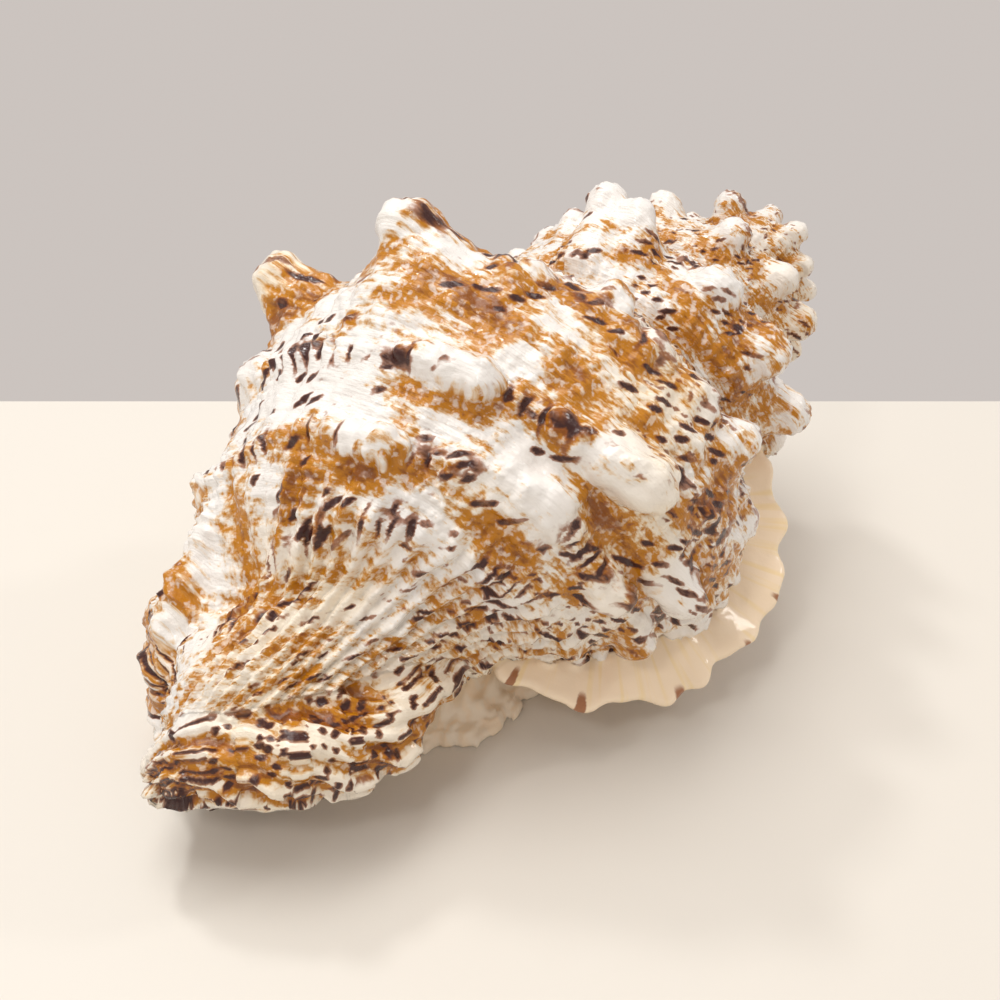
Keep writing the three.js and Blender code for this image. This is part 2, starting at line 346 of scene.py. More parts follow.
pillar = {
    "core": [(110, 22), (138, 26), (150, 22), (165, 18), (188, 15), (198, 12), (204, 8), (207, 4)],
    "fasciole": [
        (-1.8, 213, 1.2, 4.6), (1, 210.5, 3, 6), (4.8, 205, 4, 7.6), (9.6, 199.5, 2.5, 8.6),
        (14.5, 194, 1, 9.2), (17.5, 187, -2.5, 9.4), (18.4, 179, -5, 9), (18.2, 171.5, -5.5, 8),
        (16.5, 164, -6, 6.4), (13.5, 158, -9.5, 5),
    ],
}
addPath([(0, u, 0, r) for u, r in pillar["core"]], 8)

hollowShape = {
    "turn": 135.0,           # how far back from the lip it is open
    "wall": 5.0, "wallDeeper": 26.0,                # each "Deeper" is what is added at the inner end
    "front": 200.0, "frontDeeper": 24.0,            # the places it runs between
    "back": 104.0, "backDeeper": 14.0,
    "pillar": 9.0, "soft": 1.5,
}


def cutHollow():
    deep = np.clip(-turn0 / hollowShape["turn"], 0, 1)
    inset = hollowShape["wall"] + hollowShape["wallDeeper"] * deep**3
    toBack = hollowShape["back"] + hollowShape["backDeeper"] * deep - place0
    toFront = place0 - hollowShape["front"] + hollowShape["frontDeeper"] * deep
    hollow = np.maximum(tube + inset, hollowShape["pillar"] - r0)
    hollow = np.maximum(hollow, np.maximum(toBack, toFront) * 0.8)
    hollow = np.where(turn0 < -hollowShape["turn"], 40, hollow)
    field[span0] = softMax(field[span0], -hollow, hollowShape["soft"])


cutHollow()
del body, tube, turn0, place0

for number in range(1, coil["whorls"] + 1):
    span, coiled, _, _ = whorl(number)
    field[span] = softMin(field[span], coiled, 1.2)
print("spire coiled")

# knobs: turn, place, height and radius where each starts and where it ends, and how soft it joins
knobs = [
    # shoulder row, from the lip back
    (-34, 131, -3, 8, -35, 130, 4, 5, 6), (-68, 134, -6, 12, -68, 136, 12, 6.4, 7),
    (-112, 132, -8, 15, -108, 130, 5.5, 7.4, 8), (-133, 126, -2, 6, -134, 125, -1, 4, 4),
    (-148, 119, -3, 7, -149, 117, 1.5, 4.5, 4), (-165, 121, -2, 6, -166, 120, 0, 3.5, 4),
    (-181, 121, -2, 6, -182, 120, 0.5, 3.8, 4), (-197, 120, -3, 7, -199, 118, 2, 4.8, 4),
    (-226, 124, -4, 6, -226, 123, -1.2, 3.6, 4), (-262, 126, -3, 7, -262, 125, 2, 4, 4),
    (-300, 126, -3, 7, -300, 125, 2, 4.5, 4), (-340, 126, -3, 8, -340, 125, 2, 5, 4),
    (-395, 126, -3, 8, -395, 125, 3, 5, 4), (-433, 130, -2, 5, -433, 130, 1.5, 3, 3),
    (-450, 128, -2, 5, -450, 128, 1, 3, 3), (-461, 126, -2, 6, -461, 124, 2.5, 3.6, 3),
    # the tall double finger on the whorl before
    (-482, 132, -3, 6.5, -475, 124, 7.5, 3.9, 4), (-494, 132, -3, 6, -487, 125, 6.5, 3.7, 3.5),
    (-480, 140, -2, 5, -479, 134, 2, 3.4, 4), (-524, 131, -3, 9, -524, 130, 2.5, 5.2, 5),
    (-548, 133, -3, 8, -551, 133, 4, 5.2, 5), (-583, 132, -3, 7, -583, 132, 5, 4.4, 4),
    (-610, 130, -3, 6, -611, 130, 3.5, 4, 4), (-640, 130, -3, 6, -640, 130, 3, 3.8, 4),
    (-676, 130, -3, 6, -676, 130, 3, 3.8, 4), (-712, 130, -3, 6, -712, 130, 3.5, 3.8, 4),
    (-752, 130, -2, 5, -752, 130, 3.5, 3.4, 3), (-786, 130, -2, 5, -786, 130, 3.5, 3.4, 3),
    (-822, 128, -2, 5, -820, 124, 4, 3.8, 3), (-866, 130, -2, 5, -868, 131, 2.5, 3.6, 3),
    (-900, 130, -2, 5, -903, 130, 3, 3.4, 3), (-930, 132, -2, 5, -932, 133, 3.5, 3.5, 3),
    (-965, 130, -2, 4, -965, 130, 2, 3, 3), (-1005, 130, -2, 4, -1005, 130, 2, 3, 3),
    (-1050, 130, -2, 4, -1050, 130, 2, 2.8, 2), (-1100, 130, -2, 4, -1100, 130, 2, 2.8, 2),
    (-1150, 130, -2, 4, -1150, 130, 2, 2.8, 2), (-1194, 130, -2, 4, -1194, 130, 2.6, 3.2, 2),
    (-1222, 118, -2, 4, -1222, 112, 2.4, 2.8, 2), (-1250, 126, -2, 4, -1250, 124, 3, 3, 2),
    (-1276, 134, -2, 4, -1276, 135, 2.2, 2.8, 2), (-1310, 130, -2, 3, -1310, 130, 1.6, 2.5, 2),
    # middle row: long smooth knobs that rise away from the lip
    (-28, 156, -3, 6, -33, 155, 1, 4, 4), (-64, 157, -3, 6, -70, 156, 0, 4, 4),
    (-130, 155.5, -1.2, 3.0, -145, 154.5, 2.0, 3.9, 2.6), (-166, 152.5, -1, 3.4, -185, 149, 4.2, 4.4, 3),
    (-172, 147, -1.5, 3.2, -186, 145, 2.6, 3.4, 2.6), (-206, 155.5, -1.6, 3.6, -220, 154.5, 3.4, 4.2, 3),
    (-240, 150, -2, 5, -244, 150, 0.5, 4, 3),
    # lower row
    (-26, 180, -3, 6, -31, 179, 1, 3.6, 4), (-62, 181, -3, 6, -66, 181, 0.5, 3.6, 4),
    (-124, 176, -1.2, 2.6, -138, 175, 1.0, 3.0, 2.6), (-158, 168, -3.5, 6, -176, 166, -0.8, 6.2, 5),
    (-200, 168, -1.5, 3.4, -210, 168, 1.4, 3.6, 3), (-230, 167, -1.5, 3.4, -237, 167, 0.8, 3.4, 3),
    # small spikes where the whorl meets the flange
    (-243, 187, -1, 2, -247, 187, 1.4, 1.1, 1.5), (-243, 181, -1, 2, -247, 181, 1.8, 1.1, 1.5),
    (-243, 175, -1, 2, -247, 175, 1.4, 1.1, 1.5), (-243, 169, -1, 2, -247, 169, 1.9, 1.2, 1.5),
    (-243, 162, -1, 2.2, -247, 162, 1.6, 1.3, 1.5), (-243, 155, -1, 2.4, -247, 155, 1.8, 1.5, 2),
    (-243, 147, -1, 2.4, -247, 147, 1.6, 1.4, 2), (-243, 139, -1, 2.4, -247, 139, 1.8, 1.4, 2),
    (-243, 131, -1, 2.4, -247, 131, 1.6, 1.4, 2),
    # front rows
    (-110, 199, -2, 3.4, -117, 194, -0.8, 2.8, 3), (-98, 205, -2, 3.4, -107, 204, -0.8, 2.8, 3),
    (-24, 197, -2, 5, -28, 196, 1, 3.4, 3), (-58, 199, -2, 5, -62, 198, 1, 3.4, 3),
]
for t0, p0, h0, w0, t1, p1, h1, w1, soft in knobs:
    addBall(onShell(t0, p0, h0), onShell(t1, p1, h1), w0, w1, soft)
addPath(pillar["fasciole"], 1.8)

# ribs that run out to the end of the outer lip, on the far side of the canal
lipRibs = [
    [(-72, 190, -2, 3.2), (-66, 198, 0, 3.8), (-58, 204, 1, 4.0), (-48, 208, 0, 3.0)],
    [(-54, 190, -2, 3.2), (-47, 199, 0.5, 3.8), (-39, 205, 1, 3.8), (-30, 208, 0, 2.8)],
    [(-36, 192, -2, 3.2), (-28, 200, 0, 3.6), (-20, 205, 0.5, 3.4), (-11, 208, 0, 2.6)],
]
for rib in lipRibs:
    addPath([(*onShell(t, p, h), w) for t, p, h, w in rib], 3)
print("knobs and ribs raised")

# the earlier flared lip, a thin crimped flange in its own plane

flange = {
    "turn": -252.0, "hub": (108.0, 18.0), "thick": 1.3, "dish": 2.5, "crimp": 0.55, "folds": 19,
    "outline": [
        (147, 12), (151, 20), (153, 27), (151.5, 34), (147, 41), (140.5, 47.5), (133, 55), (126, 58.6),
        (117, 60), (106, 61.5), (98, 60.8), (90, 58.5), (83.5, 53.5), (77, 46.5), (70.5, 39), (66, 31),
        (65, 22), (66, 14),
    ],
}


def flangePlate(x, u, z):
    # distance to the flange's plate, which is dished and crimped towards its edge
    angle = math.radians(lip + flange["turn"])
    hubU, hubR = flange["hub"]
    outline = np.array(flange["outline"], float)
    bearing = np.arctan2(outline[:, 1] - hubR, outline[:, 0] - hubU)
    length = np.hypot(outline[:, 1] - hubR, outline[:, 0] - hubU)
    order = np.argsort(bearing)
    off = z * math.cos(angle) - x * math.sin(angle)
    out = x * math.cos(angle) + z * math.sin(angle)
    b = np.arctan2(out - hubR + 0 * u, u - hubU + 0 * out)
    far = np.hypot(out - hubR, u - hubU)
    edge = np.interp(b, bearing[order], length[order]).astype(np.float32)
    fold = np.cos(b * flange["folds"] + 1.3 * np.sin(b * 5))
    edge = edge + 0.7 * fold + 0.8 * np.sin(b * 11 + 1) + 0.4 * np.sin(b * 31)
    share = np.clip(far / edge, 0, 1.2)
    rise = flange["dish"] * share**3 + flange["crimp"] * fold * share**4 + 0.5 * np.sin(b * 17) * share**2
    thick = flange["thick"] + 1.2 * (1 - share)
    plate = softMax(np.abs(off - rise) - thick, far - edge, 1.6)
    return np.maximum(plate, 4 - out)


def addFlange():
    span = boxRound((0, 58, -48), (68, 158, 16))
    x, u, z, _, _ = flat(span)
    field[span] = softMin(field[span], flangePlate(x, u, z).astype(np.float32), 1.6)


addFlange()

# the inner lip's shield, which the shell rests on

shield = {
    "outline": [
        (2, -62), (10, -56), (17, -47), (21.5, -41), (26, -35), (27, -27), (24.5, -18), (25, -5), (26, 8),
        (24, 20), (17, 29), (8, 31), (2, 20), (0, -10), (-2, -44), (-4, -58),
    ],
    "edge": 2.4, "slope": 1.05, "most": 17.0,    # thick at its edge, then rising inwards
    "flake": 0.9, "flakeStep": 1.7, "wave": 0.8, "soft": 2.0, "join": 3.0,
}


def addShield():
    corners = np.array(shield["outline"], float)
    span = boxRound((-16, 84, -62), (30, 214, 6))
    x, u, z, _, _ = flat(span)
    full = np.stack(np.broadcast_arrays(x, u, z), -1)
    at = toPart(full)
    px, py, height = at[..., 0], at[..., 1], at[..., 2]
    wave = 0.9 * np.sin(py * 0.9 + 1.2 * np.sin(px * 0.7)) + 0.5 * np.sin(px * 1.9 + py * 0.6)
    closest = np.full(px.shape, 1e9)
    inside = np.zeros(px.shape, bool)
    for (ax, ay), (bx, by) in zip(corners, np.roll(corners, -1, 0)):
        ex, ey = bx - ax, by - ay
        t = np.clip(((px - ax) * ex + (py - ay) * ey) / (ex * ex + ey * ey), 0, 1)
        closest = np.minimum(closest, (px - ax - t * ex) ** 2 + (py - ay - t * ey) ** 2)
        crosses = (ay > py) != (by > py)
        inside ^= crosses & (px < ax + (py - ay) * ex / (ey if ey else 1e-9))
    apart = np.where(inside, -np.sqrt(closest), np.sqrt(closest)) + shield["wave"] * wave
    inward = np.maximum(-apart, 0)
    flakes = shield["flake"] * np.floor(np.clip(inward / shield["flakeStep"], 0, 3))
    top = np.minimum(shield["edge"] + flakes + shield["slope"] * np.maximum(inward - 4, 0), shield["most"])
    plate = softMax(apart, (height - top) * 0.7, shield["soft"])
    field[span] = softMin(field[span], plate.astype(np.float32), shield["join"])


addShield()

# worn flat where it rests, and worn blunt at the top of the spire
field[...] = softMax(field, (coil["bluntTop"] + 0.12 * gridZ - gridU) + 0 * field, 2.0)
floorHeight = (coil["axisMiddle"] - gridU) * leanSin + gridZ * leanCos + coil["axisHeight"]
field[...] = np.maximum(field, -floorHeight)
print("flange, shield and rests made")

# from the field to a mesh

grid = openvdb.FloatGrid(3.0)
grid.copyFromArray(np.clip(field / cell, -3, 3).astype(np.float32), tolerance=0)
gridPoints, quads = grid.convertToQuads(0.0)
points = gridPoints.astype(np.float64) * cell + np.array([a[0] for a in axes])
print("skinned:", len(points), "points")


def keepLargest(points, quads):
    # drops any crumb that isn't joined to the shell
    label = np.arange(len(points))
    while True:
        least = label[quads].min(1)
        new = label.copy()
        for k in range(4):
            np.minimum.at(new, quads[:, k], least)
        new = new[new]
        if np.array_equal(new, label):
            break
        label = new
    names, counts = np.unique(label, return_counts=True)
    keep = label == names[counts.argmax()]
    number = np.cumsum(keep) - 1
    return points[keep], number[quads[keep[quads].all(1)]]


def pointNormals(points, quads):
    corner = points[quads]
    across = np.cross(corner[:, 2] - corner[:, 0], corner[:, 3] - corner[:, 1])
    total = np.stack([
        sum(np.bincount(quads[:, k], across[:, axis], len(points)) for k in range(4)) for axis in range(3)
    ], 1)
    return total / (np.linalg.norm(total, axis=1, keepdims=True) + 1e-9)


points, quads = keepLargest(points, quads.astype(np.int64))
normals = pointNormals(points, quads)
if np.einsum("ij,ij->i", normals, points - points.mean(0)).mean() < 0:
    quads = quads[:, ::-1]
    normals = -normals


# fine relief: where each point lies on the coil, and what grew there

rng = np.random.default_rng(7)
lattice = rng.random((256, 256))


def lumps(p, q, seed=0):
    # smooth random bumps from 0 to 1, one to each unit of p and q
    p, q = p + seed * 37.3, q + seed * 91.7
    i, j = np.floor(p).astype(int), np.floor(q).astype(int)
    f, g = p - i, q - j
    f, g = f * f * (3 - 2 * f), g * g * (3 - 2 * g)
    a, b = lattice[i % 256, j % 256], lattice[(i + 1) % 256, j % 256]
    c, d = lattice[i % 256, (j + 1) % 256], lattice[(i + 1) % 256, (j + 1) % 256]
    return (a * (1 - f) + b * f) * (1 - g) + (c * (1 - f) + d * f) * g


def cloud(p, q, seed=0):
    # three sizes of lumps together
    fine = lumps(p * 2.1, q * 2.1, seed + 1) * 0.3 + lumps(p * 4.3, q * 4.3, seed + 2) * 0.15
    return lumps(p, q, seed) * 0.55 + fine


def lumpsInSpace(at, seed):
    # smooth random bumps from -1 to 1, one to each unit cube
    at = at + seed * 17.3
    whole = np.floor(at).astype(int)
    f = at - whole
    f = f * f * (3 - 2 * f)
    total = np.zeros(len(at))
    for corner in range(8):
        step = [(corner >> k) & 1 for k in range(3)]
        share = np.prod([f[:, k] if step[k] else 1 - f[:, k] for k in range(3)], 0)
        i, j, k = ((whole[:, n] + step[n]) for n in range(3))
        total += share * lattice[(i + 57 * k) % 256, (j + 113 * k) % 256]
    return 2 * total - 1


def flecks(p, q, seed, long, wide, tilt, chance):
    # slanted strokes, one at most to each unit cell, 1 on the stroke and 0 off it
    i, j = np.floor(p).astype(int), np.floor(q).astype(int)
    best = np.zeros(len(p))
    for di in (-1, 0, 1):
        for dj in (-1, 0, 1):
            a, b = i + di, j + dj
            n1 = lattice[(a + seed * 17) % 256, (b + seed * 5) % 256]
            n2 = lattice[(a + seed * 31 + 7) % 256, (b + 101) % 256]
            n3 = lattice[(a + 57) % 256, (b + seed * 13 + 3) % 256]
            dp = p - (a + 0.2 + 0.6 * n1)
            dq = q - (b + 0.2 + 0.6 * n2)
            turnBy = tilt + (n3 - 0.5) * 0.7
            along = dp * np.cos(turnBy) + dq * np.sin(turnBy)
            over = -dp * np.sin(turnBy) + dq * np.cos(turnBy)
            stretch = 0.6 + 0.9 * n2
            d = np.sqrt((along / (long * stretch)) ** 2 + (over / wide) ** 2)
            there = smoothStep(1.25 - d, 0.0, 0.5)
            best = np.maximum(best, np.where(n3 * 0.999 < chance, there, 0))
    return best


def whereOnCoil(points):
    # the turn, place and size of the nearest whorl at each point, and how far the next nearest is
    x, u, z = points.T
    r = np.hypot(x, z)
    back = (np.degrees(np.arctan2(z, x)) - lip - 60) % 360 - 300
    best = np.full(len(points), 1e9)
    second = np.full(len(points), 1e9)
    turn = np.zeros(len(points))
    for number in range(coil["whorls"] + 1):
        t = back - 360 * number
        size = np.exp(growth * t)
        place = u / size
        slope = lookUp(slopeTable, place)
        gap = np.abs(r - lookUp(radiusTable, place) * size) / evenOut(slope)
        gap = np.where((place < 66) | (place > 219), 50 + np.abs(gap), gap)
        if number == 0:
            gap = np.where(place > 208, np.minimum(gap, 20), gap)
        better = gap < best
        second = np.where(better, best, np.minimum(second, gap))
        turn = np.where(better, t, turn)
        best = np.where(better, gap, best)
    size = np.exp(growth * turn)
    return turn, u / size, size, second


turn, place, size, nextGap = whereOnCoil(points)
x, u, z = points.T
r = np.hypot(x, z)
plainRadius = lookUp(radiusTable, place) * size + swell(turn, place) * (turn > -300)
above = (r - plainRadius) / evenOut(lookUp(slopeTable, place))
flangeAngle = math.radians(lip + flange["turn"])
flangeOut = x * math.cos(flangeAngle) + z * math.sin(flangeAngle)
atPart = toPart(points)
radial = (normals[:, 0] * x + normals[:, 2] * z) / (r + 1e-6)


def nearPath(points, balls):
    # distance clear of a path of balls, along it and round it
    best = np.full(len(points), 1e9)
    run = np.zeros(len(points))
    across = np.zeros(len(points))
    start = 0.0
    for a, b in zip(balls[:-1], balls[1:]):
        p, q = np.array(a[:3], float), np.array(b[:3], float)
        d = q - p
        t = np.clip((points - p) @ d / (d @ d), 0, 1)
        out = points - p - t[:, None] * d
        far = np.linalg.norm(out, axis=1) - (a[3] + (b[3] - a[3]) * t)
        level = np.cross(d, (0, 0, 1))
        level /= np.linalg.norm(level)
        steep = np.cross(d / np.linalg.norm(d), level)
        closer = far < best
        best = np.where(closer, far, best)
        run = np.where(closer, start + t * np.linalg.norm(d), run)
        across = np.where(closer, np.arctan2(out @ level, -(out @ steep)) * 9, across)
        start += np.linalg.norm(d)
    return best, run, across


# which part of the shell each point belongs to
frontGap, frontRun, frontAcross = nearPath(points, pillar["fasciole"])
onFlange = (flangePlate(x, u, z) < 0.6) & (above > 1.0)
onShield = (atPart[:, 2] < 17) & (np.abs(atPart[:, 0] - 11) < 18) & (np.abs(atPart[:, 1] + 17) < 50)
onShield &= (above > 1.5) & (frontGap > 1.8) & ~onFlange
inHollow = (turn > -hollowShape["turn"] - 15) & (above < -2.5) & (radial < 0.6)
callus = np.where(inHollow | onFlange | onShield, 1.0, 0.0)
front = smoothStep(3.6 - frontGap, 0, 2.6) * (1 - callus)
skin = (1 - callus) * (1 - front)
clear = smoothStep(nextGap - np.abs(above), 0.0, 3.0) * skin
lowSide = smoothStep(-turn, 140, 200) * smoothStep(330 + turn, 0, 30)   # where the last whorl turns under

# in radii of a knob's end: how far its pale top reaches, and where the ring of painted shade below it lies
knobMarks = {"top": 1.35, "topFade": 0.9, "shadeRing": (1.1, 1.6), "shadeReach": 2.5, "shadeFade": 0.7}


def markKnobs():
    top = np.zeros(len(points))
    shadeRing = np.zeros(len(points))
    for t0, p0, h0, _, t1, p1, h1, radius, _ in knobs:
        root = onShell(t0 * 0.6 + t1 * 0.4, p0 * 0.6 + p1 * 0.4, h0 * 0.4 + h1 * 0.6 + 1.0)
        tip = onShell(t1, p1, h1 + 1.5)
        length = tip - root
        share = np.clip((points - root) @ length / (length @ length + 1e-6), 0, 1)
        away = np.linalg.norm(points - root - share[:, None] * length, axis=1) / (radius + 0.1)
        top = np.maximum(top, smoothStep(knobMarks["top"] - away, 0, knobMarks["topFade"]))
        # painted shade: a darker, warmer ring round the foot of each raised knob, on its low side where its
        # shadow falls
        ring = smoothStep(away, *knobMarks["shadeRing"])
        ring *= smoothStep(knobMarks["shadeReach"] - away, 0, knobMarks["shadeFade"])
        ring *= smoothStep(place - p1, 0, 3) * smoothStep(h1, -1, 2)   # only below a knob that stands up
        shadeRing = np.maximum(shadeRing, ring)
    patchy = 0.2 + 0.8 * smoothStep(cloud(turn / 4, place / 3, 71), 0.3, 0.55)
    return top * skin * patchy, shadeRing * (1 - top)


knobTop, knobUnderShade = markKnobs()

# spiral rows on the last whorl: where each runs, as turn and place, and between which turns its dark
# stripes stand
rows = {
    "shoulder": {
        "path": [
            (-2400, 124), (-330, 121), (-196, 120), (-165, 121), (-148, 119), (-130, 124), (-111, 129),
            (-66, 132), (0, 130),
        ],
        "stripes": [(-190, -178), (-169, -160), (-134, -126), (-58, -44), (-30, -8), (-330, -200)],
        "height": 1.2, "wide": 3.2,
    },
    "middle": {
        "path": [
            (-2400, 148), (-250, 148), (-218, 149), (-185, 150), (-165, 153), (-140, 155), (-120, 158),
            (-96, 160), (-70, 158), (-40, 156), (0, 154),
        ],
        "stripes": [(-168, -149), (-133, -84), (-60, -38), (-24, -4), (-216, -206), (-330, -246)],
        "height": 2.2, "wide": 2.8,
    },
    "lower": {
        "path": [
            (-2400, 166), (-215, 168), (-185, 167), (-171, 167), (-155, 171), (-134, 175), (-111, 176),
            (-95, 180), (-83, 183), (-60, 182), (0, 180),
        ],
        "stripes": [(-202, -180), (-160, -144), (-128, -76), (-56, -36), (-20, -4), (-330, -236)],
        "height": 1.9, "wide": 2.5,
    },
    "front": {
        "path": [
            (-2400, 182), (-200, 182), (-158, 185), (-148, 187), (-136, 188), (-122, 194), (-110, 198),
            (-98, 203), (-80, 206), (-50, 203), (0, 200),
        ],
        "stripes": [(-200, -176), (-163, -141), (-134, -100), (-50, -34), (-330, -230)],
        "height": 1.7, "wide": 2.4,
    },
    "canal": {
        "path": [(-2400, 205), (-170, 204), (-130, 207), (-98, 210), (-60, 211), (0, 210)],
        "stripes": [(-130, -88), (-60, -20)],
        "height": 1.0, "wide": 2.2,
    },
    "between": {
        "path": [(-2400, 138), (-185, 138), (-140, 141), (-100, 146), (0, 143)],
        "stripes": [(-230, -200)],
        "height": 0.6, "wide": 2.0,
    },
}
rowBeat = {"step": 4.7, "slant": 0.10, "sway": 0.25, "swayTurn": 0.13, "stripe": 1.2}


def raiseRows():
    # the rows' relief, and the darkness of their stripes
    rise = np.zeros(len(points))
    dark = np.zeros(len(points))
    waver = 0.7 * (lumps(turn / 3.1, place / 2.6, 13) - 0.5)
    keep = smoothStep(cloud(turn / 8, place / 7, 11), 0.34, 0.48)
    sway = rowBeat["sway"] * np.sin(turn * rowBeat["swayTurn"])
    for row in rows.values():
        path = sorted(row["path"])
        centre = np.interp(turn, [t for t, _ in path], [p for _, p in path])
        over = (place - centre) * size
        beat = turn / rowBeat["step"] + rowBeat["slant"] * over + sway
        crest = np.exp(-(over / row["wide"]) ** 2) * (0.75 + 0.25 * np.cos(2 * math.pi * beat))
        rise += row["height"] * size * crest * (1 - 0.7 * knobTop)
        there = np.zeros(len(points))
        for start, end in row["stripes"]:
            there = np.maximum(there, plateau(turn, start - 2, start + 2, end - 2, end + 2))
        stripeBeat = beat + 0.5 + 0.5 * (lumps(turn / 5, place / 4, 12) - 0.5)
        stripe = smoothStep(np.cos(2 * math.pi * stripeBeat) + waver, 0.0, 0.9)
        stripe *= np.exp(-((over - 0.4 + 2.2 * waver) / (row["wide"] * 0.95)) ** 2 * 0.9)
        dark = np.maximum(dark, stripe * there * keep * rowBeat["stripe"])
    return rise, dark


cords = {
    "step": 2.35, "height": 0.16,
    "beadStep": 3.3, "bead": 0.22, "roughBead": 0.5,      # roughBead is added where the whorl is rough
    "nodule": 0.36, "lowNodule": 0.54,                    # lowNodule is added on the low side
    "foldStep": 7.6, "fold": 0.22, "neckFold": 0.8,       # neckFold is added near the canal
    "swell": 1.1,
}


def raiseCords():
    # fine cords wound along the whorl, each beaded, with growth folds across them
    wound = place + 1.3 * (cloud(turn / 11, place / 8, 61) - 0.5)
    number = np.round(wound / cords["step"]).astype(int)
    cord = 0.5 + 0.5 * np.cos(2 * math.pi * wound / cords["step"])
    cord *= smoothStep(cloud(turn / 15, place / 6, 63), 0.25, 0.6)
    beat = turn / cords["beadStep"] + lattice[number % 256, 3] + 0.35 * np.sin(turn * 0.21 + number)
    beads = cord * (0.5 + 0.5 * np.cos(2 * math.pi * beat))
    rough = smoothStep(cloud(turn / 20, place / 11, 3), 0.35, 0.65)
    nodules = smoothStep(lumps(turn / 4.2, place / 3.4, 5), 0.55, 0.95)
    neck = plateau(place, 178, 190, 244, 256) * smoothStep(-turn, 100, 125)
    foldBeat = turn / cords["foldStep"] + 0.02 * place + 0.5 * cloud(turn / 30, place / 14, 8)
    rise = cords["height"] * cord + (cords["bead"] + cords["roughBead"] * rough) * beads
    rise += (cords["nodule"] + cords["lowNodule"] * lowSide) * nodules
    rise *= size**0.5
    rise += size * (cords["fold"] + cords["neckFold"] * neck) * np.cos(2 * math.pi * foldBeat)
    rise *= 1 - 0.35 * knobTop
    return rise + size * cords["swell"] * (cloud(turn / 13, place / 9, 14) - 0.5), beads


rowRise, darkness = raiseRows()
cordRise, beads = raiseCords()

# scaly lumps on the ridge round the canal
frontSkew = frontAcross + 0.45 * frontRun
scale = lumps(frontRun / 4.2 + 0.22 * frontAcross, frontSkew / 2.9, 21)
frontRise = 2.3 * smoothStep(scale, 0.2, 0.8) + 0.8 * lumps(frontRun / 2.2, frontSkew / 1.5, 23) - 1.4

# and nowhere quite even: how far apart the lumps are, and how high
unevenness = [(9.0, 1.0), (4.4, 0.75), (2.1, 0.42)]
uneven = np.zeros(len(points))
for seed, (apart, height) in enumerate(unevenness, 1):
    uneven += height * lumpsInSpace(points / apart, seed)
uneven *= (1 - 0.75 * callus) * np.clip(size, 0.45, 1)

relief = (rowRise + cordRise) * clear + front * frontRise + uneven
points = points + normals * relief[:, None]
print("ridges, cords and beads raised")

# where the colours lie

# warm stains: turn, place, how far round and along, and how strong
stains = [
    (-112, 122, 9, 8, 0.55), (-76, 138, 10, 7, 0.5), (-128, 138, 12, 5, 0.45), (-141, 141, 10, 5, 0.40),
    (-140, 124, 8, 5, 0.35), (-158, 142, 7, 5, 0.45), (-150, 112, 6, 5, 0.5), (-115, 186, 2.6, 14, 0.75),
    (-122, 183, 5, 5, 0.45), (-135, 181, 8, 3, 0.55), (-146, 176, 9, 3.2, 0.55), (-176, 176, 14, 4, 0.6),
    (-192, 158, 6, 3, 0.35), (-184, 160, 8, 3, 0.45), (-199, 139, 5, 7, 0.5), (-205, 134, 6, 5, 0.4),
    (-100, 205, 8, 5, 0.45), (-160, 195, 12, 6, 0.15), (-126, 164, 9, 2.5, 0.35),
    (-148, 162, 12, 2.0, 0.35), (-90, 190, 7, 7, 0.35), (-46, 206, 9, 6, 0.5), (-24, 206, 9, 6, 0.5),
    (-541, 128, 8, 6, 0.5), (-590, 124, 14, 7, 0.5), (-522, 116, 8, 6, 0.35), (-214, 162, 8, 5, 0.25),
    (-228, 138, 8, 10, 0.25), (-60, 150, 10, 10, 0.25), (-30, 168, 10, 12, 0.3),
]
# pale places, bare of stain
bare = [
    (-118, 168, 16, 7, 0.36), (-90, 166, 14, 7, 0.34), (-150, 146, 6, 4, 0.2), (-150, 180, 6, 3, 0.1),
    (-170, 200, 20, 8, 0.10), (-168, 160, 6, 2.5, 0.25), (-196, 172, 12, 4, 0.1), (-110, 144, 10, 4, 0.2),
    (-66, 137, 6, 6, 0.5), (-106, 130, 4, 4, 0.45), (-122, 130, 4, 5, 0.3),
]
# dark blots beside the rows: turn, place, how far round and along
blots = [
    (-128, 124, 5, 3.5), (-136, 124, 5, 3), (-148, 121, 6, 3.5), (-165, 118, 6, 3), (-186, 117, 6, 3),
    (-114, 127, 3, 5), (-154, 154, 4, 2.4), (-160, 153.5, 5, 2.6), (-166, 154, 6, 2.6), (-128, 158, 5, 2),
    (-100, 158, 6, 2), (-150, 172, 6, 2), (-156, 171, 5, 2.2), (-184, 169, 5, 2.4), (-200, 168, 6, 2.4),
    (-212, 167, 6, 3), (-202, 140, 6, 4), (-210, 136, 7, 4), (-190, 140, 4, 4), (-222, 150, 7, 4),
    (-228, 160, 8, 4), (-112, 197, 5, 3), (-126, 193, 5, 2), (-150, 184, 5, 2), (-96, 206, 6, 4),
    (-540, 136, 6, 4), (-566, 126, 6, 4), (-512, 122, 8, 4), (-600, 134, 6, 4), (-870, 124, 9, 6),
    (-920, 122, 9, 6), (-1200, 124, 12, 8),
]


def patch(t, p, widthRound, widthAlong):
    return np.exp(-((turn - t) / widthRound) ** 2 - ((place - p) / widthAlong) ** 2)


def spreadStainAndShade():
    warm = 0.55 * cloud(turn / 13, place / 8, 31) + 0.30 * lumps(turn / 5.5, place / 3.2, 33) + 0.11
    for *where, much in stains:
        warm += 0.62 * much * patch(*where)
    for *where, much in bare:
        warm -= much * patch(*where)
    # the knobs' rings of painted shade are added here to the real warm stain
    warm += 0.16 * knobUnderShade - 0.30 * knobTop - 0.16 * beads * (1 - knobTop)
    return warm + front * (0.25 * smoothStep(0.5 - scale, 0, 0.3) - 0.30 * smoothStep(scale, 0.5, 0.75))


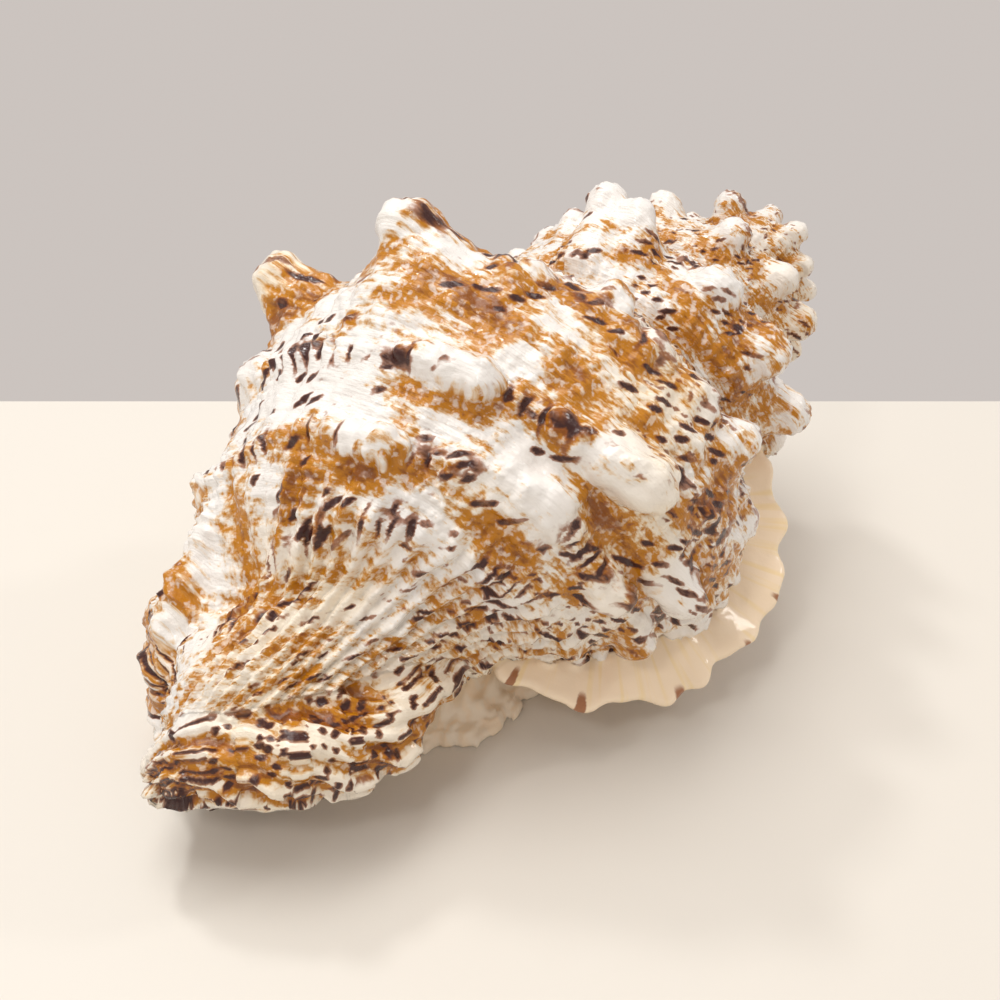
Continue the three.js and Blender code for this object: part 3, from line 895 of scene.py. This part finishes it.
# slanted dark strokes: cell round and along, seed, length, width, tilt and chance
strokes = {
    "loose": (5.2, 4.4, 2, 0.44, 0.19, 0.9, 0.45),
    "small": (3.0, 2.6, 5, 0.36, 0.20, 0.7, 0.45),
    "ramp": (4.0, 3.6, 7, 0.45, 0.20, 1.2, 0.50),
}


def stroke(name):
    cellRound, cellAlong, *rest = strokes[name]
    return flecks(turn / cellRound, place / cellAlong, *rest)


def spreadDark(dark):
    # blots, loose strokes and small ones join the rows' stripes; the ridge has flecks of its own
    mottle = 0.6 * lumps(turn / 3.4 + place / 7, place / 2.2, 81) + 0.4 * lumps(turn / 1.7, place / 1.2, 82)
    blot = np.zeros(len(points))
    for where in blots:
        blot = np.maximum(blot, patch(*where))
    loose = stroke("loose") * smoothStep(cloud(turn / 16, place / 12, 41), 0.38, 0.52)
    small = stroke("small") * (0.35 + 0.65 * lowSide) * smoothStep(cloud(turn / 12, place / 8, 43), 0.42, 0.6)
    ramp = stroke("ramp") * smoothStep(118 - place, 0, 8)
    marks = [1.05 * blot * smoothStep(mottle, 0.42, 0.60), 0.95 * loose, 0.8 * small, 0.8 * ramp]
    for mark in marks:
        dark = np.maximum(dark, mark)
    scales = 0.95 * flecks(frontRun / 2.7, frontSkew / 2.1, 9, 0.44, 0.25, 0.85, 0.8)
    scales = np.maximum(scales, 0.7 * smoothStep(0.32 - scale, 0, 0.2) * smoothStep(mottle, 0.42, 0.62))
    return dark * (1 - 0.7 * knobTop) * (1 - front) * (1 - callus) + front * scales * 0.95


warm = spreadStainAndShade()
darkness = spreadDark(darkness)

# the flange's dark notches, by bearing round its hub and distance from it
hubU, hubR = flange["hub"]
bearing = np.arctan2(flangeOut - hubR, u - hubU)
reachOut = np.hypot(flangeOut - hubR, u - hubU)
notches = smoothStep(np.cos(bearing * 17 + 2.0 * np.sin(bearing * 3)), 0.86, 0.99)
edgeDark = smoothStep(reachOut, 39, 46) * notches


def giveEach(mesh, name, values, kind="FLOAT"):
    layer = mesh.attributes.new(name, kind, "POINT")
    flatValues = np.ascontiguousarray(values, dtype=np.float32).ravel()
    layer.data.foreach_set("vector" if kind == "FLOAT_VECTOR" else "value", flatValues)


def flowOver():
    # a direction for the finish to run in: round the coil, along the ridge and out over the flange
    flow = np.stack([turn * 0.8, place, 40 * np.floor(turn / 360)], 1)
    flow = np.where((front > 0.5)[:, None], np.stack([frontRun, frontSkew, 0 * z + 500], 1), flow)
    return np.where(onFlange[:, None], np.stack([bearing * 40, reachOut * 0.25, 0 * z + 900], 1), flow)


def makeShell():
    mesh = bpy.data.meshes.new("frogShell")
    placed = toPart(points)
    below = placed[:, 2] < 0
    placed[:, 2] = np.where(below, 0.08 * placed[:, 2], placed[:, 2])   # worn flat where it rests
    placed = placed * unit + [middleX, middleY, lowCorner.z]
    mesh.vertices.add(len(points))
    mesh.vertices.foreach_set("co", placed.astype(np.float32).ravel())
    mesh.loops.add(quads.size)
    mesh.loops.foreach_set("vertex_index", quads.astype(np.int32).ravel())
    mesh.polygons.add(len(quads))
    mesh.polygons.foreach_set("loop_start", np.arange(0, quads.size, 4, dtype=np.int32))
    mesh.polygons.foreach_set("use_smooth", np.ones(len(quads), bool))
    mesh.update(calc_edges=True)
    mesh.validate()
    giveEach(mesh, "flow", flowOver(), "FLOAT_VECTOR")
    giveEach(mesh, "warm", warm)
    giveEach(mesh, "dark", darkness)
    giveEach(mesh, "tip", knobTop)
    giveEach(mesh, "callus", callus)
    giveEach(mesh, "onFlange", np.where(onFlange, 1.0, 0.0))
    giveEach(mesh, "flangeEdge", np.where(onFlange, edgeDark, 0.0))
    shell = bpy.data.objects.new("frogShell", mesh)
    bpy.context.collection.objects.link(shell)
    return shell


shell = makeShell()
print("mesh made:", len(quads), "faces")

# the finish: glossy white shell stained ochre, with purple-brown flecks

finish = {
    "white": (0.90, 0.875, 0.84),
    "cream": (0.93, 0.83, 0.67),
    "cool": (0.80, 0.80, 0.81),
    "tan": (0.73, 0.46, 0.17),
    "ochre": (0.52, 0.200, 0.004),
    "brown": (0.19, 0.042, 0.001),
    "rim": (0.30, 0.085, 0.012),         # round each dark fleck
    "plum": (0.050, 0.012, 0.009),
    "peach": (0.96, 0.79, 0.58),         # the flange and its rays
    "butter": (0.94, 0.74, 0.42),
    "shieldCream": (0.95, 0.83, 0.66),
    "roughness": 0.22, "coat": 0.35, "coatRoughness": 0.06, "specular": 0.3, "index": 1.5,
    "bump": 0.7, "bumpHeight": 0.0008,
}


class NodeBoard:
    def __init__(self, material):
        self.nodes = material.node_tree.nodes
        self.links = material.node_tree.links

    def add(self, kind, inputs=(), **settings):
        node = self.nodes.new(kind)
        for name, value in settings.items():
            setattr(node, name, value)
        for key, value in dict(inputs).items():
            if isinstance(value, bpy.types.NodeSocket):
                self.links.new(value, node.inputs[key])
            else:
                node.inputs[key].default_value = value
        return node

    def attribute(self, name, output="Fac"):
        return self.add("ShaderNodeAttribute", attribute_name=name).outputs[output]

    def maths(self, operation, a, b):
        return self.add("ShaderNodeMath", {0: a, 1: b}, operation=operation).outputs[0]

    def between(self, value, low, high, toLow=0.0, toHigh=1.0):
        inputs = {"Value": value, "From Min": low, "From Max": high, "To Min": toLow, "To Max": toHigh}
        return self.add("ShaderNodeMapRange", inputs, interpolation_type="SMOOTHSTEP").outputs["Result"]

    def swing(self, value, much):
        # a noise made to run evenly to both sides of nothing
        return self.maths("MULTIPLY", self.maths("SUBTRACT", value, 0.5), much)

    def mix(self, share, a, b):
        node = self.nodes.new("ShaderNodeMix")
        node.data_type = "RGBA"
        for socket, value in ((node.inputs[0], share), (node.inputs[6], a), (node.inputs[7], b)):
            if isinstance(value, bpy.types.NodeSocket):
                self.links.new(value, socket)
            elif isinstance(value, tuple):
                socket.default_value = (*value, 1)
            else:
                socket.default_value = value
        return node.outputs[2]

    def noise(self, vector, scale, detail=4.0, rough=0.6, stretch=(1, 1, 1)):
        mapped = self.add("ShaderNodeMapping", {"Vector": vector, "Scale": stretch}).outputs[0]
        inputs = {"Vector": mapped, "Scale": scale, "Detail": detail, "Roughness": rough}
        return self.add("ShaderNodeTexNoise", inputs).outputs["Fac"]


def shellFinish():
    material = bpy.data.materials.new("shellGloss")
    material.use_nodes = True
    board = NodeBoard(material)
    shader = board.nodes["Principled BSDF"]
    flowVector = board.attribute("flow", "Vector")
    bodyVector = board.add("ShaderNodeTexCoord").outputs["Object"]
    warmth, dark = board.attribute("warm"), board.attribute("dark")
    tip, callusMask = board.attribute("tip"), board.attribute("callus")
    flangeMask, flangeEdge = board.attribute("onFlange"), board.attribute("flangeEdge")

    streaks = board.noise(flowVector, 0.5, 4, 0.55, (0.45, 1.3, 1))
    grains = board.noise(flowVector, 1.1, 2, 0.5, (0.8, 1.1, 1))
    specks = board.noise(bodyVector, 620, 2, 0.5)
    clouds = board.noise(bodyVector, 42, 3, 0.55)
    large = board.noise(bodyVector, 16, 2, 0.5)

    ground = board.mix(board.between(large, 0.42, 0.66), finish["white"], finish["cream"])
    ground = board.mix(board.between(clouds, 0.56, 0.74, 0, 0.55), ground, finish["cool"])
    ground = board.mix(board.maths("MULTIPLY", tip, 0.4), ground, finish["white"])

    wander = board.maths("ADD", warmth, board.swing(streaks, 0.8))
    wander = board.maths("ADD", wander, board.swing(grains, 0.35))
    tanPart = board.between(wander, 0.42, 0.58, 0, 0.7)
    ochrePart = board.between(wander, 0.50, 0.66)
    brownPart = board.between(wander, 0.72, 0.98, 0, 0.8)
    colour = board.mix(tanPart, ground, finish["tan"])
    colour = board.mix(ochrePart, colour, finish["ochre"])
    colour = board.mix(brownPart, colour, finish["brown"])
    # pale specks inside the stain
    notBrown = board.maths("SUBTRACT", 1.0, brownPart)
    paleSpeck = board.maths("MULTIPLY", board.between(specks, 0.52, 0.66, 0, 0.55), notBrown)
    colour = board.mix(paleSpeck, colour, ground)

    darkEdge = board.maths("ADD", dark, board.swing(grains, 0.5))
    colour = board.mix(board.between(darkEdge, 0.16, 0.52, 0, 0.85), colour, finish["rim"])
    colour = board.mix(board.between(darkEdge, 0.42, 0.92), colour, finish["plum"])

    rays = board.noise(flowVector, 0.5, 2, 0.5, (1.0, 0.25, 1))
    lining = board.mix(board.between(rays, 0.45, 0.62), finish["shieldCream"], finish["peach"])
    flangeTone = board.mix(board.between(rays, 0.50, 0.68, 0, 0.8), finish["peach"], finish["butter"])
    flangeTone = board.mix(board.between(flangeEdge, 0.3, 0.7, 0, 0.9), flangeTone, finish["rim"])
    lining = board.mix(flangeMask, lining, flangeTone)
    colour = board.mix(callusMask, colour, lining)
    board.links.new(colour, shader.inputs["Base Color"])

    smooth, dull = finish["roughness"] - 0.08, finish["roughness"] + 0.14
    worn = board.between(board.noise(bodyVector, 90, 4, 0.6), 0.35, 0.7, smooth, dull)
    worn = board.maths("ADD", worn, board.maths("MULTIPLY", callusMask, 0.15))
    board.links.new(worn, shader.inputs["Roughness"])
    shader.inputs["Coat Weight"].default_value = finish["coat"]
    shader.inputs["Coat Roughness"].default_value = finish["coatRoughness"]
    shader.inputs["IOR"].default_value = finish["index"]
    shader.inputs["Specular IOR Level"].default_value = finish["specular"]

    fineCords = board.noise(flowVector, 1.0, 3, 0.5, (0.25, 1.6, 1))
    pits = board.noise(bodyVector, 340, 5, 0.65)
    grain = board.maths("ADD", board.maths("MULTIPLY", fineCords, 0.5), pits)
    smoothTip = board.maths("MULTIPLY", tip, 0.35)
    smoothness = board.maths("MAXIMUM", board.maths("MULTIPLY", callusMask, 0.8), smoothTip)
    grain = board.maths("MULTIPLY", grain, board.maths("SUBTRACT", 1.0, smoothness))
    bumpInputs = {"Height": grain, "Strength": finish["bump"], "Distance": finish["bumpHeight"]}
    bump = board.add("ShaderNodeBump", bumpInputs)
    board.links.new(bump.outputs["Normal"], shader.inputs["Normal"])
    return material


shell.data.materials.append(shellFinish())
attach(shell, "root")
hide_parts("frog_shell")
bpy.context.scene.view_settings.view_transform = "Standard"
print("finish mixed")
